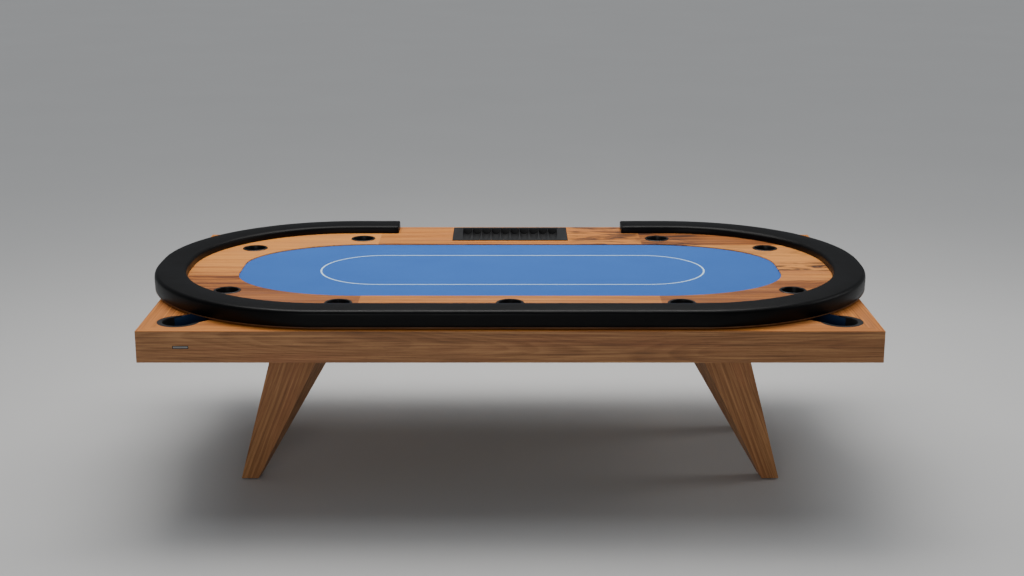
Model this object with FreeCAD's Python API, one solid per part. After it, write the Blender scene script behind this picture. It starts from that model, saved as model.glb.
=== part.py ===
"""Poker table: a walnut pool-table base that carries a lift-off oval poker top.

Millimetres, +Z up. The origin is on the floor under the centre of the table, +X runs along
the long side and -Y is the players' side that faces the viewer.
"""
import FreeCAD, Part
import math
import os

from FreeCAD import Vector

# ---- base: driving dimensions ----------------------------------------------------------
DECK_L = 2660.0             # rail frame, along X
DECK_W = 1540.0             # rail frame, along Y
DECK_Z = 740.0              # top face of the rails
APRON_H = 116.0
BOARD_T = 24.0              # apron thickness, also the mitre along the deck's outer edge
RAIL_W = 150.0              # wooden part of each rail
RAIL_T = 42.0
CUSHION_W = 50.0
NOSE_DROP = 6.0             # cushion nose below the deck
SLATE_T = 25.0
SLATE_INSET = 30.0
CLOTH_T = 1.0

POCKET_INSET = 130.0        # corner pocket centre from both outer faces
SIDE_POCKET_INSET = 105.0
POCKET_R = 62.0
RING_R = 78.0
RING_INNER_R = 60.0
RING_T = 3.0
MOUTH_HALF = 63.0           # half width of the cut between two rails
FACING_T = 5.0
FACING_START = 14.0         # from the pocket centre towards the bed
BUCKET_R = 61.5
BUCKET_WALL = 3.0
BUCKET_DEPTH = 104.0

LEG_TOP_OUTER = 892.0       # distances from the centre line of the table, along X
LEG_TOP_INNER = 678.0
LEG_TOP_BACK_INNER = 618.0
LEG_FOOT_OUTER = 1055.0
LEG_FOOT_INNER = 989.0
LEG_FOOT_BACK_INNER = 980.0
LEG_FACE_Y = 315.0          # outward face of a leg, from the centre line
LEG_TOP_DEPTH = 150.0
LEG_FOOT_DEPTH = 66.0
PAD_T = 6.0                 # levelling foot under a leg
PAD_R = 22.0
STEM_R = 5.0
STEM_L = 40.0
RUNNING_GAP = 0.05          # radial clearance of a stem or bolt in its hole

BRACKET_T = 8.0
BRACKET_MARGIN = 24.0
BEAM_T = 20.0
LONG_BEAM_L = 2240.0
LONG_BEAM_W = 120.0
LONG_BEAM_Y = 400.0
CROSS_BEAM_W = 330.0
CROSS_BEAM_L = 1200.0
BOLT_R = 5.0
BOLT_HEAD_R = 8.5
BOLT_HEAD_H = 6.5
BOLT_GRIP = 30.0

PLATE_L = 57.0              # small blank metal plate let into the front apron
PLATE_H = 11.0
PLATE_T = 1.5
PLATE_X = -1171.0
PLATE_DROP = 59.0

# ---- poker top: driving dimensions -----------------------------------------------------
CORNER_X = 680.0            # centres of the rounded corners, shared by the board and the armrest
CORNER_Y = 36.0
OUTER_R = 717.0             # corner radii
ARMREST_INNER_R = 592.0
FIELD_L = 2140.0            # playing field, whose corners are quarter ellipses
FIELD_W = 846.0
FIELD_SIDE_HALF = 570.0     # half length of its straight sides
FIELD_END_HALF = 70.0       # half length of its straight ends
SUPPORT_T = 6.0             # rubber pads between the deck and the top
BASE_BOARD_T = 18.0
LIP_H = 3.0                 # strip of board edge left bare under the vinyl
VINYL_T = 3.0
RACETRACK_T = 14.0
FOAM_T = 9.0
FIELD_CLOTH_T = 1.2
ARMREST_TOP = 72.0          # above the deck
ARMREST_ROUND = 16.0
ARMREST_LEAN = 1.0          # how far the inner wall leans outwards
CORE_INNER_R = 614.0
CORE_OUTER_R = 699.0
CORE_H = 24.0
DEALER_GAP_HALF = 488.0
END_WALL = 6.0
RACETRACK_JOINT_X = 560.0
PLANK_JOINTS = {            # joints between the planks at each end, along Y
    "left": (-400.0, -105.0, 30.0, 400.0),
    "right": (-400.0, -196.0, -37.0, 96.0, 400.0),
}
BOARD_JOINTS = (316.0, 850.0)   # joints between the panels of the base board, along X
FIT_GAP = 0.3

CUP_SIDE_X = 633.0          # cup centres along the sides
CUP_SIDE_Y = 525.0
CUP_END_X = 1072.0          # cup centres at the ends
CUP_END_Y = 346.0
CUP_FLANGE_R = 52.0
CUP_FLANGE_T = 2.5
CUP_R = 44.5
CUP_BOTTOM_R = 37.5
CUP_DEPTH = 70.0
CUP_WALL = 1.6
CUP_HOLE_R = 45.5

TRAY_HALF_L = 248.0
TRAY_FRONT_Y = 488.0
TRAY_REAR_Y = 734.0
TRAY_FLANGE = 8.0
TRAY_FLANGE_T = 3.0
TRAY_DEPTH = 32.0
TROUGHS = 10
TROUGH_PITCH = 41.4
TROUGH_R = 20.2
TROUGH_FRONT_DEPTH = 6.0
TROUGH_REAR_DEPTH = 24.0
TROUGH_FRONT_GAP = 12.0
TROUGH_REAR_GAP = 18.0

ARM_BOLT_R = 4.0
ARM_BOLT_HEAD_R = 7.0
ARM_BOLT_HEAD_H = 4.0
ARM_BOLT_L = 34.0
ARM_BOLT_PATH_R = 654.0
BLOCK_L = 90.0
BLOCK_W = 30.0
BLOCK_H = 40.0
BLOCK_CLEARANCE = 3.0
SUPPORT_L = 80.0
SUPPORT_W = 60.0

# ---- heights that follow ---------------------------------------------------------------
APRON_BOTTOM = DECK_Z - APRON_H
BED_Z = DECK_Z - RAIL_T
SLATE_TOP = BED_Z - CLOTH_T
SLATE_BOTTOM = SLATE_TOP - SLATE_T
NOSE_INSET = RAIL_W + CUSHION_W
BRACKET_BOTTOM = APRON_BOTTOM
CROSS_BEAM_BOTTOM = BRACKET_BOTTOM + BRACKET_T
LONG_BEAM_BOTTOM = CROSS_BEAM_BOTTOM + BEAM_T
BOARD_BOTTOM = DECK_Z + SUPPORT_T
BOARD_TOP = BOARD_BOTTOM + BASE_BOARD_T
RACETRACK_TOP = BOARD_TOP + RACETRACK_T
FOAM_TOP = BOARD_TOP + FOAM_T
ARMREST_Z = DECK_Z + ARMREST_TOP
ORIGIN = Vector(0, 0, 0)
UP = Vector(0, 0, 1)
QUARTER_TURNS = {"front": 0, "right": 90, "rear": 180, "left": 270}

os.makedirs("parts", exist_ok=True)


def write(name, shape):
    """Write one sub-part to its STEP file."""
    shape.exportStep("parts/" + name + ".step")


def box(x0, y0, z0, x1, y1, z1):
    """Box between two corners."""
    return Part.makeBox(x1 - x0, y1 - y0, z1 - z0, Vector(x0, y0, z0))


def disc(x, y, z0, z1, radius):
    """Upright cylinder between two heights."""
    return Part.makeCylinder(radius, z1 - z0, Vector(x, y, z0))


def prism(points, z0, z1):
    """Upright prism over a plan outline."""
    corners = [Vector(x, y, z0) for x, y in points]
    face = Part.Face(Part.makePolygon(corners + corners[:1]))
    return face.extrude(Vector(0, 0, z1 - z0))


def oval(radius, z0, z1):
    """Plate with long straight sides, short straight ends and round corners."""
    x = CORNER_X + radius
    y = CORNER_Y + radius
    plate = box(-CORNER_X, -y, z0, CORNER_X, y, z1)
    parts = [box(-x, -CORNER_Y, z0, x, CORNER_Y, z1)]
    parts += [disc(sx * CORNER_X, sy * CORNER_Y, z0, z1, radius) for sx in (-1, 1) for sy in (-1, 1)]
    return plate.fuse(parts).removeSplitter()


def field_plate(gap, z0, z1):
    """Plate in the shape of the playing field, smaller all round by a gap."""
    major = FIELD_L / 2 - FIELD_SIDE_HALF - gap
    minor = FIELD_W / 2 - FIELD_END_HALF - gap
    ellipse = Part.Ellipse(ORIGIN, major, minor)
    corner = ellipse.toShape(0, math.pi / 2)
    corner.translate(Vector(FIELD_SIDE_HALF, FIELD_END_HALF, 0))
    x = FIELD_L / 2 - gap
    y = FIELD_W / 2 - gap
    edges = [corner, Part.makeLine(Vector(FIELD_SIDE_HALF, y, 0), Vector(0, y, 0))]
    edges += [Part.makeLine(Vector(0, y, 0), ORIGIN), Part.makeLine(ORIGIN, Vector(x, 0, 0))]
    edges.append(Part.makeLine(Vector(x, 0, 0), Vector(x, FIELD_END_HALF, 0)))
    quarter = Part.Face(Part.Wire(Part.__sortEdges__(edges))).extrude(Vector(0, 0, z1 - z0))
    quarter.translate(Vector(0, 0, z0))
    half = quarter.fuse(quarter.mirror(ORIGIN, Vector(1, 0, 0))).removeSplitter()
    return half.fuse(half.mirror(ORIGIN, Vector(0, 1, 0))).removeSplitter()


def group(shapes):
    """Several separate solids kept in one node."""
    return Part.makeCompound(shapes)


def turned(shape, angle):
    """Copy turned about the table's upright centre line."""
    copy = shape.copy()
    copy.rotate(ORIGIN, UP, angle)
    return copy


def quadrants():
    """Signs of the four corners with their names."""
    for sy, row in ((-1, "front"), (1, "rear")):
        for sx, column in ((-1, "left"), (1, "right")):
            yield sx, sy, row + "_" + column


# ---- pockets: shared cutting shapes ----------------------------------------------------
def pocket_places():
    """Name, centre and inward direction in degrees for each of the six pockets."""
    x = DECK_L / 2 - POCKET_INSET
    y = DECK_W / 2 - POCKET_INSET
    for sx, sy, name in quadrants():
        yield name, sx * x, sy * y, math.degrees(math.atan2(-sy, -sx))
    for sy, name in ((-1, "front_middle"), (1, "rear_middle")):
        yield name, 0.0, sy * (DECK_W / 2 - SIDE_POCKET_INSET), -90.0 * sy


def mouth(x, y, angle, half, z0, z1, start=0.0, reach=260.0):
    """Straight passage from a pocket centre towards the bed."""
    passage = box(start, -half, z0, reach, half, z1)
    passage.rotate(ORIGIN, UP, angle)
    passage.translate(Vector(x, y, 0))
    return passage


def pocket_cutters():
    """Round hole, mouth and shallow ring seat of every pocket in the rails and cushions."""
    z0 = BED_Z - 1
    z1 = DECK_Z + 1
    cutters = []
    for name, x, y, angle in pocket_places():
        cutters.append(disc(x, y, z0, z1, POCKET_R))
        cutters.append(mouth(x, y, angle, MOUTH_HALF, z0, z1))
        cutters.append(disc(x, y, DECK_Z - RING_T, z1, RING_R + FIT_GAP))
    return cutters


# ---- mitred frame: aprons and rails ----------------------------------------------------
def frame_side(profile, side, depth):
    """One mitred side of the frame, from (inset, height) points of its section."""
    along = DECK_L / 2 if side in ("front", "rear") else DECK_W / 2
    across = DECK_W / 2 if side in ("front", "rear") else DECK_L / 2
    corners = [Vector(-along, inset - across, z) for inset, z in profile]
    bar = Part.Face(Part.makePolygon(corners + corners[:1])).extrude(Vector(2 * along, 0, 0))
    plan = [(-along, -across), (along, -across), (along - depth, depth - across)]
    plan.append((depth - along, depth - across))
    bar = bar.common(prism(plan, APRON_BOTTOM - 1, DECK_Z + 1))
    return turned(bar, QUARTER_TURNS[side])


def make_aprons():
    profile = [(0, DECK_Z), (BOARD_T, DECK_Z - BOARD_T), (BOARD_T, APRON_BOTTOM)]
    profile.append((0, APRON_BOTTOM))
    for side in QUARTER_TURNS:
        apron = frame_side(profile, side, BOARD_T)
        if side == "front":
            apron = apron.cut(name_plate())
        write("apron_" + side, apron)


def name_plate():
    """Blank plate, flush with the front face."""
    top = DECK_Z - PLATE_DROP + PLATE_H / 2
    front = -DECK_W / 2
    return box(PLATE_X - PLATE_L / 2, front, top - PLATE_H, PLATE_X + PLATE_L / 2, front + PLATE_T, top)


def make_rails():
    profile = [(0, DECK_Z), (RAIL_W, DECK_Z), (RAIL_W, BED_Z), (BOARD_T, BED_Z)]
    profile.append((BOARD_T, DECK_Z - BOARD_T))
    cutters = pocket_cutters()
    for side in QUARTER_TURNS:
        write("rail_" + side, frame_side(profile, side, RAIL_W).cut(cutters))


# ---- cushions, slate and bed cloth -----------------------------------------------------
def make_cushions():
    """Six cloth-covered rubber cushions; the long sides are in two halves."""
    nose_z = DECK_Z - NOSE_DROP
    profile = [(RAIL_W, DECK_Z - 1), (NOSE_INSET, nose_z), (NOSE_INSET, nose_z - 5)]
    profile += [(RAIL_W + 12, BED_Z + 8), (RAIL_W, BED_Z + 8)]
    cutters = pocket_cutters()
    for side in QUARTER_TURNS:
        bar = frame_side(profile, side, NOSE_INSET).cut(cutters)
        solids = sorted(bar.Solids, key=lambda solid: solid.CenterOfMass.x)
        names = ["cushion_" + side]
        if len(solids) == 2:
            names = ["cushion_" + side + "_left", "cushion_" + side + "_right"]
        for name, solid in zip(names, solids):
            write(name, solid)


def make_bed():
    half_l = DECK_L / 2 - SLATE_INSET
    half_w = DECK_W / 2 - SLATE_INSET
    holes = [disc(x, y, SLATE_BOTTOM - 1, BED_Z + 1, POCKET_R + 1) for name, x, y, a in pocket_places()]
    slate = box(-half_l, -half_w, SLATE_BOTTOM, half_l, half_w, SLATE_TOP)
    cloth = box(-half_l, -half_w, SLATE_TOP, half_l, half_w, BED_Z)
    write("slate_bed", slate.cut(holes))
    write("bed_cloth", cloth.cut(holes))


# ---- pocket fittings -------------------------------------------------------------------
def pocket_ring(x, y, angle):
    """Flat ring let into the deck, open towards the bed."""
    ring = disc(x, y, DECK_Z - RING_T, DECK_Z, RING_R)
    ring = ring.cut(disc(x, y, DECK_Z - RING_T - 1, DECK_Z + 1, RING_INNER_R))
    return ring.cut(mouth(x, y, angle, MOUTH_HALF - FACING_T, DECK_Z - RING_T - 1, DECK_Z + 1))


def pocket_facings(x, y, angle):
    """Two cloth-covered rubber pads on the walls of a mouth."""
    z0 = BED_Z
    z1 = DECK_Z - RING_T
    outer = mouth(x, y, angle, MOUTH_HALF, z0, z1, start=FACING_START)
    inner = mouth(x, y, angle, MOUTH_HALF - FACING_T, z0 - 1, z1 + 1, start=FACING_START - 1)
    frame_half_l = DECK_L / 2 - NOSE_INSET
    frame_half_w = DECK_W / 2 - NOSE_INSET
    bed = box(-frame_half_l, -frame_half_w, z0 - 1, frame_half_l, frame_half_w, z1 + 1)
    return outer.cut([inner, bed, disc(x, y, z0 - 1, z1 + 1, POCKET_R + 1)]).Solids


def pocket_bucket(x, y, angle):
    """Round liner that catches the balls; its wall is open towards the bed."""
    top = DECK_Z - RING_T
    bottom = top - BUCKET_DEPTH
    bucket = disc(x, y, bottom, top, BUCKET_R)
    bucket = bucket.cut(disc(x, y, bottom + BUCKET_WALL, top + 1, BUCKET_R - BUCKET_WALL))
    return bucket.cut(mouth(x, y, angle, MOUTH_HALF - FACING_T, BED_Z, top + 1))


def make_pockets():
    rings = []
    facings = []
    for name, x, y, angle in pocket_places():
        rings.append(pocket_ring(x, y, angle))
        facings += pocket_facings(x, y, angle)
        write("pocket_bucket_" + name, pocket_bucket(x, y, angle))
    write("pocket_rings", group(rings))
    write("pocket_facings", group(facings))


# ---- legs, feet and subframe -----------------------------------------------------------
def leg_blank():
    """Right rear leg: a tapered block that splays outwards, with an angled inner face."""
    def ring(z, outer, inner, back_inner, depth):
        back = LEG_FACE_Y - depth
        corners = [Vector(outer, LEG_FACE_Y, z), Vector(inner, LEG_FACE_Y, z)]
        corners += [Vector(back_inner, back, z), Vector(outer, back, z)]
        return Part.makePolygon(corners + corners[:1])
    foot = ring(PAD_T, LEG_FOOT_OUTER, LEG_FOOT_INNER, LEG_FOOT_BACK_INNER, LEG_FOOT_DEPTH)
    top = ring(APRON_BOTTOM, LEG_TOP_OUTER, LEG_TOP_INNER, LEG_TOP_BACK_INNER, LEG_TOP_DEPTH)
    return Part.makeLoft([foot, top], True, True)


def leg_foot_centre():
    x = (LEG_FOOT_OUTER + LEG_FOOT_INNER) / 2
    return x, LEG_FACE_Y - LEG_FOOT_DEPTH / 2


def mirrored(shape, sx, sy):
    """The right rear shape moved to another corner by mirroring."""
    if sx < 0:
        shape = shape.mirror(ORIGIN, Vector(1, 0, 0))
    if sy < 0:
        shape = shape.mirror(ORIGIN, Vector(0, 1, 0))
    return shape


def bracket_corners():
    """Plan rectangle of the right rear bracket."""
    x0 = LEG_TOP_BACK_INNER - BRACKET_MARGIN / 2
    x1 = LEG_TOP_OUTER + BRACKET_MARGIN / 2
    return x0, LEG_FACE_Y - LEG_TOP_DEPTH - BRACKET_MARGIN, x1, LEG_FACE_Y + BRACKET_MARGIN


def bracket_bolt_places():
    """Bolt centres of the right rear bracket, in the strips beside the leg."""
    x0, y0, x1, y1 = bracket_corners()
    inset = BRACKET_MARGIN / 2
    return [(x, y) for x in (x0 + 2 * inset, x1 - 2 * inset) for y in (y0 + inset, y1 - inset)]


def bolt_holes():
    """Cutters for the bolts of the right rear bracket."""
    top = BRACKET_BOTTOM + BOLT_GRIP
    return [disc(x, y, BRACKET_BOTTOM - 1, top, BOLT_R + RUNNING_GAP) for x, y in bracket_bolt_places()]


def make_legs():
    foot_x, foot_y = leg_foot_centre()
    bore = disc(foot_x, foot_y, PAD_T - 1, PAD_T + STEM_L + 5, STEM_R + RUNNING_GAP)
    leg = leg_blank().cut(bore)
    pad = disc(foot_x, foot_y, 0, PAD_T, PAD_R)
    leveller = pad.fuse(disc(foot_x, foot_y, PAD_T, PAD_T + STEM_L, STEM_R))
    x0, y0, x1, y1 = bracket_corners()
    bracket = box(x0, y0, BRACKET_BOTTOM, x1, y1, CROSS_BEAM_BOTTOM).cut(bolt_holes())
    bolts = []
    for x, y in bracket_bolt_places():
        head = disc(x, y, BRACKET_BOTTOM - BOLT_HEAD_H, BRACKET_BOTTOM, BOLT_HEAD_R)
        bolts.append(head.fuse(disc(x, y, BRACKET_BOTTOM, BRACKET_BOTTOM + BOLT_GRIP - 2, BOLT_R)))
    brackets = []
    all_bolts = []
    for sx, sy, name in quadrants():
        write("leg_" + name, mirrored(leg, sx, sy))
        write("leveller_" + name, mirrored(leveller, sx, sy))
        brackets.append(mirrored(bracket, sx, sy))
        all_bolts += [mirrored(bolt, sx, sy) for bolt in bolts]
    write("leg_brackets", group(brackets))
    write("leg_bolts", group(all_bolts))


def make_subframe():
    """Two wide cross boards over the legs and three long beams that carry the slate."""
    x0, y0, x1, y1 = bracket_corners()
    middle = (x0 + x1) / 2
    half = CROSS_BEAM_L / 2
    holes = [mirrored(hole, sx, sy) for hole in bolt_holes() for sx, sy, name in quadrants()]
    beams = []
    for side in (-1, 1):
        x = side * middle - CROSS_BEAM_W / 2
        cross = box(x, -half, CROSS_BEAM_BOTTOM, x + CROSS_BEAM_W, half, LONG_BEAM_BOTTOM)
        beams.append(cross.cut(holes))
    for y in (-LONG_BEAM_Y, 0, LONG_BEAM_Y):
        beam = box(-LONG_BEAM_L / 2, y - LONG_BEAM_W / 2, LONG_BEAM_BOTTOM,
                   LONG_BEAM_L / 2, y + LONG_BEAM_W / 2, SLATE_BOTTOM)
        beams.append(beam.cut(holes))
    write("subframe", group(beams))


# ---- poker top: cups and tray ----------------------------------------------------------
def cup_places():
    """Plan centres of the nine cups, front row first."""
    places = [(x, -CUP_SIDE_Y) for x in (-CUP_SIDE_X, 0.0, CUP_SIDE_X)]
    places += [(CUP_END_X, -CUP_END_Y), (CUP_END_X, CUP_END_Y), (CUP_SIDE_X, CUP_SIDE_Y)]
    places += [(-CUP_SIDE_X, CUP_SIDE_Y), (-CUP_END_X, CUP_END_Y), (-CUP_END_X, -CUP_END_Y)]
    return places


def cup():
    """Drop-in cup with a flange, on the origin, as one turned wall."""
    top = RACETRACK_TOP + CUP_FLANGE_T
    bottom = RACETRACK_TOP - CUP_DEPTH
    outline = [(0, bottom), (CUP_BOTTOM_R, bottom), (CUP_R, RACETRACK_TOP)]
    outline += [(CUP_FLANGE_R, RACETRACK_TOP), (CUP_FLANGE_R - 1, top), (CUP_R - CUP_WALL, top)]
    outline += [(CUP_BOTTOM_R - CUP_WALL, bottom + CUP_WALL), (0, bottom + CUP_WALL)]
    corners = [Vector(r, 0, z) for r, z in outline]
    face = Part.Face(Part.makePolygon(corners + corners[:1]))
    return face.revolve(ORIGIN, UP, 360)


def make_cups():
    blank = cup()
    for number, (x, y) in enumerate(cup_places(), start=1):
        piece = blank.copy()
        piece.translate(Vector(x, y, 0))
        write("cup_" + str(number), piece)


def trough(x):
    """Round-bottomed groove for one row of chips, deeper at the rear."""
    y0 = TRAY_FRONT_Y + TRAY_FLANGE + TROUGH_FRONT_GAP
    y1 = TRAY_REAR_Y - TRAY_FLANGE - TROUGH_REAR_GAP
    face_z = RACETRACK_TOP + TRAY_FLANGE_T
    start = Vector(x, y0, face_z - TROUGH_FRONT_DEPTH + TROUGH_R)
    end = Vector(x, y1, face_z - TROUGH_REAR_DEPTH + TROUGH_R)
    return Part.makeCylinder(TROUGH_R, (end - start).Length, start, end - start)


def tray_opening(gap, z0, z1):
    """The tray's drop-in body, grown by a gap, as a box."""
    half = TRAY_HALF_L - TRAY_FLANGE + gap
    return box(-half, TRAY_FRONT_Y + TRAY_FLANGE - gap, z0, half, TRAY_REAR_Y - TRAY_FLANGE + gap, z1)


def make_tray():
    """Ten-row chip tray with a flange and a narrow slot behind the rows, as one block per row."""
    top = RACETRACK_TOP + TRAY_FLANGE_T
    flange = box(-TRAY_HALF_L, TRAY_FRONT_Y, RACETRACK_TOP, TRAY_HALF_L, TRAY_REAR_Y, top)
    tray = flange.fuse(tray_opening(0, top - TRAY_DEPTH, top)).removeSplitter()
    first = -(TROUGHS - 1) / 2 * TROUGH_PITCH
    cutters = [trough(first + n * TROUGH_PITCH) for n in range(TROUGHS)]
    slot_half = TROUGHS * TROUGH_PITCH / 2 + 4
    slot_rear = TRAY_REAR_Y - TRAY_FLANGE - 5
    cutters.append(box(-slot_half, slot_rear - 7, top - 14, slot_half, slot_rear, top + 1))
    joints = [first + (n - 0.5) * TROUGH_PITCH for n in range(TROUGHS + 1)]
    write("chip_tray", group(bands(tray.cut(cutters), joints, "X")))


# ---- poker top: boards and cloth -------------------------------------------------------
def arm_bolt_places():
    """Plan centres of the bolts that pull the armrest down onto the board."""
    side_y = CORNER_Y + ARM_BOLT_PATH_R
    places = [(x, -side_y) for x in (-450.0, 0.0, 450.0)]
    places += [(side * 560.0, side_y) for side in (-1, 1)]
    for sx, sy, name in quadrants():
        for degrees in (20, 60):
            x = CORNER_X + ARM_BOLT_PATH_R * math.cos(math.radians(degrees))
            y = CORNER_Y + ARM_BOLT_PATH_R * math.sin(math.radians(degrees))
            places.append((sx * x, sy * y))
    return places


def cup_cutters(z0, z1):
    return [disc(x, y, z0, z1, CUP_HOLE_R) for x, y in cup_places()]


def arm_bolt_cutters():
    top = BOARD_BOTTOM + ARM_BOLT_L + 1
    return [disc(x, y, BOARD_BOTTOM - 1, top, ARM_BOLT_R + RUNNING_GAP) for x, y in arm_bolt_places()]


def dealer_gap(half, inner, outer, z0, z1):
    """Box at the rear of the oval, between two distances from the centre line."""
    return box(-half, inner, z0, half, outer, z1)


def bands(shape, joints, along):
    """Cut a shape into separate boards at joints along X or Y."""
    limits = [-2000.0, *joints, 2000.0]
    boards = []
    for low, high in zip(limits, limits[1:]):
        if along == "X":
            slab = box(low, -1000, 0, high, 1000, 1000)
        else:
            slab = box(-2000, low, 0, 2000, high, 1000)
        boards += shape.common(slab).Solids
    return boards


def make_boards():
    lip = oval(OUTER_R, BOARD_BOTTOM, BOARD_BOTTOM + LIP_H)
    upper = oval(OUTER_R - VINYL_T, BOARD_BOTTOM + LIP_H, BOARD_TOP)
    rear_y = CORNER_Y + OUTER_R
    rear_edge = dealer_gap(DEALER_GAP_HALF - FIT_GAP, FIELD_W / 2, rear_y, BOARD_BOTTOM + LIP_H, BOARD_TOP)
    board = lip.fuse([upper, rear_edge]).removeSplitter()
    cutters = cup_cutters(BOARD_BOTTOM - 1, RACETRACK_TOP + 1)
    cutters.append(tray_opening(2, BOARD_BOTTOM - 1, RACETRACK_TOP + 1))
    board = board.cut(cutters + arm_bolt_cutters())
    inner, outer = BOARD_JOINTS
    panels = []
    for half in bands(board, (0.0,), "Y"):
        panels += bands(half, (-outer, -inner, inner, outer), "X")
    write("base_board", group(panels))

    ring = oval(ARMREST_INNER_R - FIT_GAP, BOARD_TOP, RACETRACK_TOP)
    ring = ring.cut([field_plate(0, BOARD_TOP - 1, RACETRACK_TOP + 1)])
    gap_half = DEALER_GAP_HALF - FIT_GAP
    rear_run = dealer_gap(gap_half, FIELD_W / 2 + 20, rear_y, BOARD_TOP, RACETRACK_TOP)
    ring = ring.fuse(rear_run).removeSplitter()
    ring = ring.cut(cutters)
    z0 = BOARD_TOP - 1
    z1 = RACETRACK_TOP + 1
    joint = RACETRACK_JOINT_X
    far = CORNER_X + OUTER_R
    write("racetrack_front", ring.common(box(-joint, -rear_y, z0, joint, 0, z1)))
    write("racetrack_rear", ring.common(box(-joint, 0, z0, joint, rear_y, z1)))
    left = ring.common(box(-far, -rear_y, z0, -joint, rear_y, z1))
    right = ring.common(box(joint, -rear_y, z0, far, rear_y, z1))
    write("racetrack_left", group(bands(left, PLANK_JOINTS["left"], "Y")))
    write("racetrack_right", group(bands(right, PLANK_JOINTS["right"], "Y")))

    write("field_foam", field_plate(FIT_GAP, BOARD_TOP, FOAM_TOP))
    write("field_cloth", field_plate(FIT_GAP, FOAM_TOP, FOAM_TOP + FIELD_CLOTH_T))


# ---- poker top: padded armrest ---------------------------------------------------------
def armrest_section():
    """Section of the pad as a face in the plane X = 0, on the front side of the oval."""
    bottom = BOARD_BOTTOM + LIP_H
    r = ARMREST_ROUND
    bulge = r * (1 - math.sqrt(0.5))
    inner_top = ARMREST_INNER_R + ARMREST_LEAN

    def at(radius, z):
        return Vector(0, -CORNER_Y - radius, z)
    outer_arc = (at(OUTER_R, ARMREST_Z - r), at(OUTER_R - bulge, ARMREST_Z - bulge), at(OUTER_R - r, ARMREST_Z))
    inner_arc = (at(inner_top + r, ARMREST_Z), at(inner_top + bulge, ARMREST_Z - bulge), at(inner_top, ARMREST_Z - r))
    foot = [inner_arc[2], at(ARMREST_INNER_R, BOARD_TOP), at(CORE_INNER_R, BOARD_TOP)]
    foot += [at(CORE_INNER_R, BOARD_TOP + CORE_H), at(CORE_OUTER_R, BOARD_TOP + CORE_H)]
    foot += [at(CORE_OUTER_R, BOARD_TOP), at(OUTER_R - VINYL_T, BOARD_TOP), at(OUTER_R - VINYL_T, bottom)]
    foot += [at(OUTER_R, bottom), outer_arc[0]]
    edges = [Part.Arc(*outer_arc).toShape(), Part.makeLine(outer_arc[2], inner_arc[0])]
    edges.append(Part.Arc(*inner_arc).toShape())
    edges += [Part.makeLine(a, b) for a, b in zip(foot, foot[1:])]
    return Part.Face(Part.Wire(edges))


def core_section():
    """Section of the plywood core, in the same plane."""
    corners = [(CORE_INNER_R, BOARD_TOP), (CORE_OUTER_R, BOARD_TOP)]
    corners += [(CORE_OUTER_R, BOARD_TOP + CORE_H), (CORE_INNER_R, BOARD_TOP + CORE_H)]
    points = [Vector(0, -CORNER_Y - radius, z) for radius, z in corners]
    return Part.Face(Part.makePolygon(points + points[:1]))


def straight_run(section, x0, x1):
    """Straight run of a section along the front."""
    face = section.copy()
    face.translate(Vector(x0, 0, 0))
    return face.extrude(Vector(x1 - x0, 0, 0))


def end_run(section):
    """Section carried round the right end: corner, short straight, corner."""
    face = section.copy()
    face.translate(Vector(CORNER_X, 0, 0))
    front_corner = face.revolve(Vector(CORNER_X, -CORNER_Y, 0), UP, 90)
    rear_corner = front_corner.mirror(ORIGIN, Vector(0, 1, 0))
    across = section.copy()
    across.translate(Vector(0, CORNER_Y, 0))
    across.rotate(ORIGIN, UP, 90)
    across.translate(Vector(CORNER_X, -CORNER_Y, 0))
    middle = across.extrude(Vector(0, 2 * CORNER_Y, 0))
    return front_corner.fuse([middle, rear_corner])


def rear_run(section, gap):
    """Straight run from the right end to the dealer's gap, along the rear."""
    return turned(straight_run(section, -CORNER_X, -gap), 180)


def make_armrest():
    pad = armrest_section()
    core = core_section()
    write("armrest_front", straight_run(pad, -CORNER_X, CORNER_X))
    end_wall = rear_run(pad, DEALER_GAP_HALF)
    end_plug = rear_run(core, DEALER_GAP_HALF).cut(rear_run(core, DEALER_GAP_HALF + END_WALL))
    right = end_run(pad).fuse([end_wall, end_plug]).removeSplitter()
    write("armrest_right", right)
    write("armrest_left", right.mirror(ORIGIN, Vector(1, 0, 0)))
    side_core = end_run(core).fuse(rear_run(core, DEALER_GAP_HALF + END_WALL)).removeSplitter()
    cores = [straight_run(core, -CORNER_X, CORNER_X), side_core, side_core.mirror(ORIGIN, Vector(1, 0, 0))]
    cutters = arm_bolt_cutters()
    write("armrest_core", group([piece.cut(cutters) for piece in cores]))


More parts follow.
